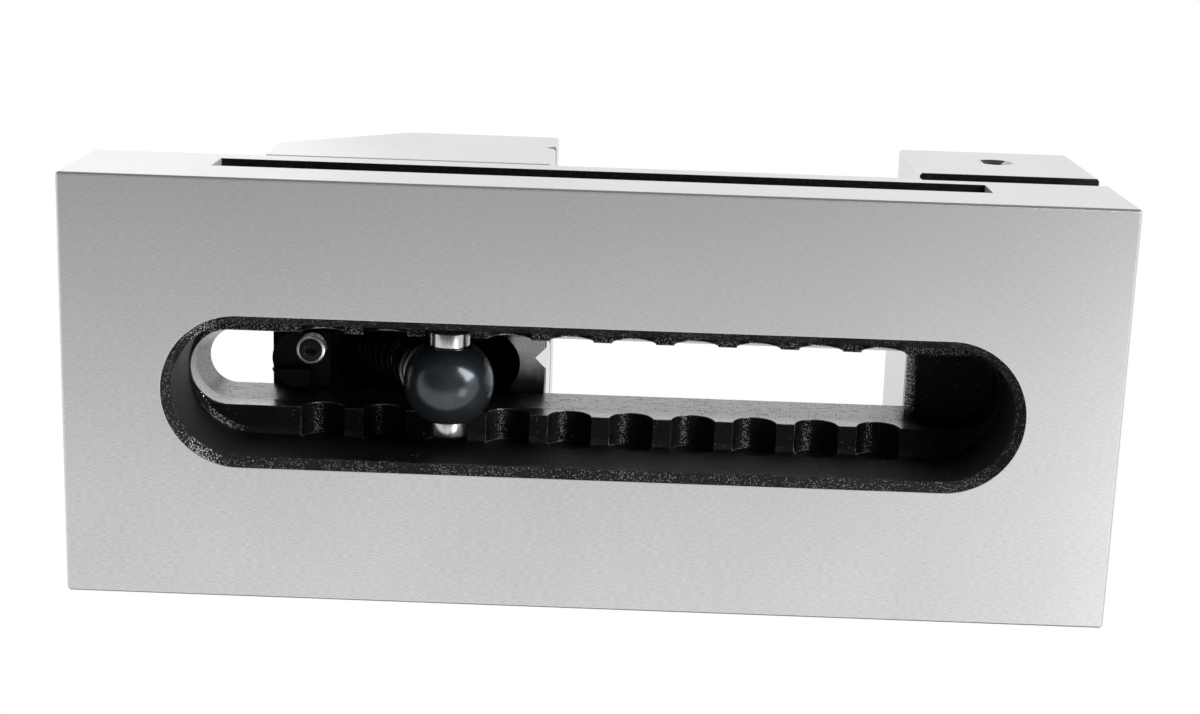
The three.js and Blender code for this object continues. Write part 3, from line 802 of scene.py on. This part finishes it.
# %% Bright and blued steel
even_grain = (3000, 3000, 3000)
along_pin = (3000, 300, 3000)
along_block = (500, 2400, 2400)
oil_grain = (220, 220, 220)
steel_spread = (0.35, 0.65)
turned_edge = 0.1 * mm
coat_rough = 0.08


def turned_steel(name, levels, roughs, metal=1.0, coat=0.0, grain=even_grain,
                 dent=0.0015 * mm, tint=0.0, shine=0.5):
    material = new_material(name)
    tree = material.node_tree
    fine = grain_noise(tree, grain)
    film = grain_noise(tree, oil_grain)
    share = ramp(tree, blend_values(tree, 0.5, film, fine), *steel_spread)
    colour = blend_colours(tree, share, *[grey(level, tint) for level in levels])
    rough = blend_values(tree, film, *roughs)
    normal = add_node(tree, "ShaderNodeBump", Height=fine, Distance=dent, Strength=1.0,
                      Normal=rounded_edges(tree, turned_edge)).outputs[0]
    steel = add_node(tree, "ShaderNodeBsdfPrincipled", Base_Color=colour, Metallic=metal,
                     Roughness=rough, Normal=normal, Coat_Weight=coat, Coat_Roughness=coat_rough,
                     Specular_IOR_Level=shine)
    add_node(tree, "ShaderNodeOutputMaterial", Surface=steel.outputs[0])
    return material


ball_blue = turned_steel("blued_ball_steel", levels=(0.036, 0.058), roughs=(0.18, 0.28), metal=0.6,
                         coat=0.3, tint=-0.2, dent=0.006 * mm)
pin_bright = turned_steel("ground_pin_steel", levels=(0.44, 0.66), roughs=(0.14, 0.22), grain=along_pin)
screw_black = turned_steel("dark_screw_steel", levels=(0.03, 0.08), roughs=(0.24, 0.36))
bright_screw = turned_steel("bright_screw_steel", levels=(0.85, 0.98), roughs=(0.24, 0.32))
painted_reflection_face = turned_steel("dark_face_steel", levels=(0.004, 0.008), roughs=(0.24, 0.36), metal=0.0,
                          shine=0.2)
washer_steel = turned_steel("washer_steel", levels=(0.38, 0.50), roughs=(0.25, 0.36))
wire_steel = turned_steel("spring_wire_steel", levels=(0.002, 0.003), roughs=(0.36, 0.46), metal=0.0,
                          shine=0.12)
block_steel = turned_steel("guide_block_steel", levels=(0.002, 0.003), roughs=(0.42, 0.55), metal=0.0,
                           grain=along_block, dent=0.004 * mm, shine=0.12)
print("made", ball_blue.name, pin_bright.name, block_steel.name)

# %% [markdown]
# The ball nut is a true ball with two flats. It could be lathe turned, but the flats, the seats
# for the pins and the slanted bore all cut across the turning, so a fine sphere is bisected
# twice, its flats are inset and pushed in for the seats, and the bore and the dimple are cut
# with a boolean.

# %% Ball nut
ball_radius = 10.8 * mm
ball_half_width = (nut_high.y - nut_low.y) / 2
seat_radius = 5.3 * mm
seat_depth = 3.2 * mm
bore_radius = 5.3 * mm
bore_depth = 6 * mm
cut_accuracy = 0.001 * mm
flat_normal = 0.999
bpy.ops.object.select_all(action="DESELECT")
bpy.ops.mesh.primitive_uv_sphere_add(segments=128, ring_count=64, radius=ball_radius)
ball = bpy.context.active_object
ball.name = "ball_nut_fine"
bpy.ops.object.mode_set(mode="EDIT")
for side in (-1, 1):
    bpy.ops.mesh.select_all(action="SELECT")
    bpy.ops.mesh.bisect(plane_co=(0, side * ball_half_width, 0), plane_no=(0, side, 0),
                        use_fill=True, clear_outer=True, threshold=cut_accuracy)
flat_radius = math.sqrt(ball_radius ** 2 - ball_half_width ** 2)
for side in (-1, 1):
    select_faces(ball, lambda face: side * face.normal.y > flat_normal and side * face.center.y > 0)
    bpy.ops.mesh.inset(thickness=flat_radius - seat_radius)
    bpy.ops.mesh.extrude_region_move(TRANSFORM_OT_translate={"value": (0, -side * seat_depth, 0)})
bpy.ops.object.mode_set(mode="OBJECT")
print("flats of", round(flat_radius / mm, 2), "mm radius")

# %% [markdown]
# The screw's bore leans with the screw's axis, so a turned bar is laid along it and cut away.
# The dimple is a shallow centre mark, and a flat cone with its point inwards leaves it.

# %% Bore and dimple
dimple_radius = 1.1 * mm
dimple_depth = 0.1 * mm
dimple_place = Vector((3.7, 2.2)) * mm
bore_top = 2 * ball_radius
bore_tool = turned("bore_tool", [(bore_radius, -bore_depth), (bore_radius, bore_top)])
bore_tool.matrix_world = lean
cut_away(ball, bore_tool)
dimple_drop = math.sqrt(ball_radius ** 2 - dimple_place.length ** 2)
dimple_direction = Vector((dimple_place.x, dimple_place.y, -dimple_drop)).normalized()
bpy.ops.object.select_all(action="DESELECT")
bpy.ops.mesh.primitive_cone_add(vertices=48, radius1=0, radius2=2 * dimple_radius,
                                depth=2 * dimple_depth)
dimple_tool = bpy.context.active_object
dimple_turn = upright.rotation_difference(dimple_direction).to_matrix().to_4x4()
dimple_tool.matrix_world = Matrix.Translation(dimple_direction * ball_radius) @ dimple_turn
cut_away(ball, dimple_tool)
finish_piece(ball, ball_blue, Matrix.Translation(nut_centre), smooth_below=25)
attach(ball, "nut")
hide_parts("ball_nut")

# %% [markdown]
# The trunnion pins are two short ground bars that carry the pull of the screw into the notches.
# They are the same, so one is modelled and the other gets its own copy of the mesh. A mirrored
# copy would do as well, but it would turn the faces inside out.

# %% Trunnion pins
pin_radius = 5 * mm
pin_inner = 6.1 * mm
pin_outer = 13.3 * mm
pin_chamfer = 0.8 * mm
pin_edge = 0.12 * mm
pin_profile = [
    (pin_radius, pin_inner),
    (pin_radius, pin_outer - pin_chamfer),
    (pin_radius - pin_chamfer, pin_outer),
]
pin = turned("trunnion_pin_near_fine", pin_profile)
break_edges(pin, pin_edge, sharper_than=30)
far_pin = pin.copy()
far_pin.data = pin.data.copy()
far_pin.name = "trunnion_pin_far_fine"
bpy.context.scene.collection.objects.link(far_pin)
for piece, side, node in ((pin, 1, "trunnion_pin_near"), (far_pin, -1, "trunnion_pin_far")):
    outward = upright.rotation_difference(Vector((0, side, 0))).to_matrix().to_4x4()
    finish_piece(piece, pin_bright, Matrix.Translation(nut_centre) @ outward)
    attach(piece, "nut")
    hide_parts(node)

# %% [markdown]
# A socket screw has a knurled head, so that fingers can start it. A bump would leave its outline
# smooth, so the knurl is made from the head's own faces: the rows of the profile cut its side
# into small squares, and each is inset and pushed in. The hexagon is cut with a six-sided bar,
# and a cone gives the drill's point.


# %% Knurl and hex socket
drill_radius_share = 0.42
drill_point_share = 0.25
socket_overrun = 1 * mm
point_lift = 0.02 * mm
side_wall_tilt = 0.1


def knurl(piece, radius, low, high, rim, depth):
    take(piece)
    bpy.ops.object.mode_set(mode="EDIT")

    def on_side(face):
        out = math.hypot(face.center.x, face.center.y)
        steep = abs(face.normal.z) < side_wall_tilt
        return low < face.center.z < high and out > radius - skin and steep

    select_faces(piece, on_side)
    bpy.ops.mesh.inset(thickness=rim, depth=-depth, use_individual=True)
    bpy.ops.object.mode_set(mode="OBJECT")


def hex_socket(piece, width, mouth, bottom):
    corner_radius = width / math.sqrt(3)
    depth = abs(mouth - bottom) + socket_overrun
    outward = 1 if mouth > bottom else -1
    middle = (mouth + bottom + outward * socket_overrun) / 2
    bpy.ops.object.select_all(action="DESELECT")
    bpy.ops.mesh.primitive_cylinder_add(vertices=6, radius=corner_radius, depth=depth,
                                        location=(0, 0, middle))
    cut_away(piece, bpy.context.active_object)
    drill_radius = drill_radius_share * width
    low_radius, high_radius = (0, drill_radius) if outward > 0 else (drill_radius, 0)
    point_depth = drill_point_share * width
    point_middle = bottom - outward * (point_depth / 2 - point_lift)
    bpy.ops.object.select_all(action="DESELECT")
    bpy.ops.mesh.primitive_cone_add(vertices=32, radius1=low_radius, radius2=high_radius,
                                    depth=point_depth, location=(0, 0, point_middle))
    cut_away(piece, bpy.context.active_object)


print("knurl and socket helpers are ready")

# %% [markdown]
# The small screw holds the guide block to the jaw. Its head hangs down into the slot, with the socket
# facing the camera. The screw is bright steel, and its end face is painted near black as a painted
# reflection of the dark opening, so the faces of the end get a second material.

# %% Guide block screw
block_low, block_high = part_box("guide_block_screw")
block_screw_place = Vector(((block_low.x + block_high.x) / 2, (block_low.y + block_high.y) / 2, 0))
block_head_radius = 3.5 * mm
block_shank_radius = 2 * mm
block_head_low = block_low.z
block_head_top = block_low.z + 4 * mm
block_chamfer = 0.6 * mm
block_chamfer_rise = 0.24 * mm
block_tip_chamfer = 0.3 * mm
block_knurl_rows = 6
block_knurl_low = block_head_low + block_chamfer_rise + 0.3 * mm
block_knurl_high = block_head_top - 0.25 * mm
block_knurl_rim = 0.06 * mm
block_knurl_depth = 0.09 * mm
block_socket_width = 3 * mm
block_socket_depth = 2.2 * mm
turned_down = -0.3


def knurl_rings(radius, low, high, rows):
    return [(radius, low + (high - low) * row / rows) for row in range(rows + 1)]


block_profile = [
    (block_head_radius - block_chamfer, block_head_low),
    (block_head_radius, block_head_low + block_chamfer_rise),
    *knurl_rings(block_head_radius, block_knurl_low, block_knurl_high, block_knurl_rows),
    (block_head_radius, block_head_top),
    (block_shank_radius, block_head_top),
    (block_shank_radius, block_high.z - block_tip_chamfer),
    (block_shank_radius - block_tip_chamfer, block_high.z),
]
block_screw = turned("guide_block_screw_fine", block_profile, sides=60)
knurl(block_screw, block_head_radius, block_knurl_low, block_knurl_high, block_knurl_rim,
      block_knurl_depth)
hex_socket(block_screw, block_socket_width, block_head_low, block_head_low + block_socket_depth)
finish_piece(block_screw, bright_screw, Matrix.Translation(block_screw_place))


# The end face gets a painted dark reflection.
def end_face_finish(face):
    out = (face.center.to_2d() - block_screw_place.to_2d()).length
    on_end = out < block_head_radius - block_chamfer - skin
    return int(on_end and face.normal.z < turned_down)


finish_faces(block_screw, [bright_screw, painted_reflection_face], end_face_finish)
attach(block_screw, "jaw")
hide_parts("guide_block_screw")

# %% [markdown]
# A thread and a spring are both a small outline that climbs round an axis. A curve with a bevel
# could follow the helix, but the screw modifier gives even rings that can be moved by number
# later. The two open ends are closed afterwards.


# %% Helix helper
def helix(name, ring_sides, ring_radius, coil_radius, low, rise, turns, steps):
    bpy.ops.object.select_all(action="DESELECT")
    bpy.ops.mesh.primitive_circle_add(vertices=ring_sides, radius=ring_radius,
                                      location=(coil_radius, 0, low),
                                      rotation=(math.radians(90), 0, 0))
    piece = bpy.context.active_object
    piece.name = name
    bpy.ops.object.transform_apply(location=True, rotation=True, scale=False)
    sweep = piece.modifiers.new("sweep", "SCREW")
    sweep.axis = "Z"
    sweep.screw_offset = rise
    sweep.iterations = turns
    sweep.steps = steps
    sweep.render_steps = steps
    sweep.use_smooth_shade = False
    bpy.ops.object.modifier_apply(modifier=sweep.name)
    bpy.ops.object.mode_set(mode="EDIT")
    bpy.ops.mesh.select_mode(type="EDGE")
    bpy.ops.mesh.select_all(action="DESELECT")
    bpy.ops.mesh.select_non_manifold(extend=False)
    bpy.ops.mesh.fill_holes(sides=0)
    bpy.ops.mesh.select_all(action="SELECT")
    bpy.ops.mesh.normals_make_consistent(inside=False)
    bpy.ops.object.mode_set(mode="OBJECT")
    return piece


print("helix helper is ready")

# %% [markdown]
# The pull screw carries a real thread, because its ridges show beside the ball. The thread is a
# swept triangle that is joined to a core, which is turned as before. The head with its knurl
# and hexagon lies in the jaw's counterbore.

# %% Pull screw
thread_radius = 5 * mm
thread_root = 4.35 * mm
thread_pitch = 1.5 * mm
thread_turns = 16
thread_start = 0.5 * mm
thread_runout = 0.6 * mm
ridge_radius = 0.72 * mm
ridge_steps = 48
screw_low = 0.262 * mm
head_low = 50.467 * mm
head_high = 60.467 * mm
head_radius = 8 * mm
head_chamfer = 0.6 * mm
head_knurl_rows = 12
head_knurl_low = head_low + 0.8 * mm
head_knurl_high = head_high - 1.4 * mm
head_knurl_rim = 0.08 * mm
head_knurl_depth = 0.14 * mm
head_socket_width = 8 * mm
head_socket_depth = 6 * mm
core_top = screw_low + thread_turns * thread_pitch
core_profile = [
    (thread_root - thread_start, screw_low),
    (thread_root, screw_low + thread_start),
    (thread_root, core_top),
    (thread_radius, core_top + thread_runout),
    (thread_radius, head_low),
    (head_radius, head_low),
    *knurl_rings(head_radius, head_knurl_low, head_knurl_high, head_knurl_rows),
    (head_radius, head_high - head_chamfer),
    (head_radius - head_chamfer, head_high),
]
pull_screw = turned("pull_screw_fine", core_profile)
knurl(pull_screw, head_radius, head_knurl_low, head_knurl_high, head_knurl_rim, head_knurl_depth)
hex_socket(pull_screw, head_socket_width, head_high, head_high - head_socket_depth)
ridge = helix("thread_ridge", ring_sides=3, ring_radius=ridge_radius,
              coil_radius=thread_radius - ridge_radius, low=screw_low + ridge_radius,
              rise=thread_pitch, turns=thread_turns - 1, steps=ridge_steps)
take(pull_screw)
ridge.select_set(True)
bpy.ops.object.join()
finish_piece(pull_screw, screw_black, on_screw_axis)
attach(pull_screw, "screw")
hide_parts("pull_screw")

# %% [markdown]
# Below the head lie a round washer and the ring that it rocks in. Both have one face that is
# part of a sphere about the swing centre. A boolean with a sphere would cut it in small odd
# faces, so the turned profiles follow the sphere's arc themselves.


# %% Round washer
washer_sphere = 15 * mm
washer_radius = 8.5 * mm
washer_top = head_low - running_gap
washer_edge = 0.12 * mm


def arc(sphere_radius, inner, outer, steps=10):
    radii = [inner + (outer - inner) * step / steps for step in range(steps + 1)]
    return [(radius, swing_reach - math.sqrt(sphere_radius ** 2 - radius ** 2)) for radius in radii]


washer_profile = arc(washer_sphere, bore_radius, washer_radius)
washer_profile += [(washer_radius, washer_top), (bore_radius, washer_top)]
round_washer = turned("round_washer_fine", washer_profile, bored=True)
break_edges(round_washer, washer_edge)
finish_piece(round_washer, washer_steel, on_screw_axis)
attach(round_washer, "rocker")
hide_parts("round_washer")

# %% [markdown]
# The seat ring lies fast in the jaw. Its hollow follows the washer's sphere at the running gap,
# so that the washer can rock in it.

# %% Seat ring
ring_low = 45.25 * mm
ring_radius = 9.8 * mm
ring_bore = 6.9 * mm
ring_edge = 0.1 * mm
ring_profile = [(ring_bore, ring_low), (ring_radius, ring_low)]
ring_profile += arc(washer_sphere + running_gap, ring_bore, ring_radius)[::-1]
seat_ring = turned("screw_seat_ring_fine", ring_profile, bored=True)
break_edges(seat_ring, ring_edge)
finish_piece(seat_ring, washer_steel, on_screw_axis)
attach(seat_ring, "jaw")
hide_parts("screw_seat_ring")

# %% [markdown]
# The spring stands against a plain flat washer under the jaw's web. It is the simplest turned
# piece: four rings bridged into a closed shape, with the edges broken.

# %% Spring washer
spring_washer_low = 38.45 * mm
spring_washer_high = 39.45 * mm
spring_washer_radius = 7.4 * mm
spring_washer_edge = 0.15 * mm
flat_profile = [
    (bore_radius, spring_washer_low), (spring_washer_radius, spring_washer_low),
    (spring_washer_radius, spring_washer_high), (bore_radius, spring_washer_high),
]
spring_washer = turned("spring_washer_fine", flat_profile, bored=True)
break_edges(spring_washer, spring_washer_edge)
finish_piece(spring_washer, wire_steel, on_screw_axis)
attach(spring_washer, "rocker")
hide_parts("spring_washer")

# %% [markdown]
# The release spring is one round wire. The helix helper winds it evenly, and its end turns are
# then closed up, as on a real spring that has to stand flat.

# %% Release spring
wire_radius = 0.6 * mm
coil_radius = 6.3 * mm
spring_low = 10.27 * mm
spring_high = 37.55 * mm
spring_turns = 8
wire_sides = 12
turn_steps = 40
closed_gap = 0.3 * wire_radius
closed_rise = 2 * wire_radius + closed_gap
even_rise = (spring_high - spring_low - 2 * wire_radius) / spring_turns
open_rise = (even_rise * spring_turns - 2 * closed_rise) / (spring_turns - 2)
spring = helix("release_spring_fine", ring_sides=wire_sides, ring_radius=wire_radius,
               coil_radius=coil_radius, low=spring_low + wire_radius, rise=even_rise,
               turns=spring_turns, steps=turn_steps)


def coil_height(turn):
    if turn < 1:
        return closed_rise * turn
    if turn > spring_turns - 1:
        return even_rise * spring_turns - closed_rise * (spring_turns - turn)
    return closed_rise + open_rise * (turn - 1)


for index, vertex in enumerate(spring.data.vertices):
    turn = (index // wire_sides) / turn_steps
    vertex.co.z += coil_height(turn) - even_rise * turn
print("open turns rise", round(open_rise / mm, 2), "mm each")

# %% [markdown]
# The wire is nearly black, and the coils next to the ball get a painted highlight: they are painted
# lighter and metallic. The mask measures the distance along the screw. As the nut is drawn up, the
# spring shortens towards its upper end, since a rigid wire would run through the ball.

# %% Finish of the spring
highlight_level = 0.5
highlight_to = spring_low + 2 * closed_rise
dark_from = spring_low + 3 * closed_rise


def painted_coil_highlight(material):
    tree = material.node_tree
    place = add_node(tree, "ShaderNodeTexCoord").outputs["Object"]
    along = vector_maths(tree, "DOT_PRODUCT", place, tuple(screw_direction), output="Value")
    start = nut_centre.dot(screw_direction)
    lit_share = ramp(tree, along, start + dark_from, start + highlight_to)
    # The coils near the ball are painted lighter and metallic, as painted highlight.
    repaint(material, lit_share, grey(highlight_level))
    fill(tree, shader_of(material).inputs["Metallic"], lit_share)


painted_coil_highlight(wire_steel)
finish_piece(spring, wire_steel, on_screw_axis, smooth_below=60)
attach(spring, "rocker")
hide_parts("release_spring")
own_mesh(spring)

# %% [markdown]
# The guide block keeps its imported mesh, because its shape is right. It only needs the dark
# milled finish, whose scratches run along the slot.

# %% Guide block
finish_faces(nodes["guide_block"], [block_steel], lambda face: 0)
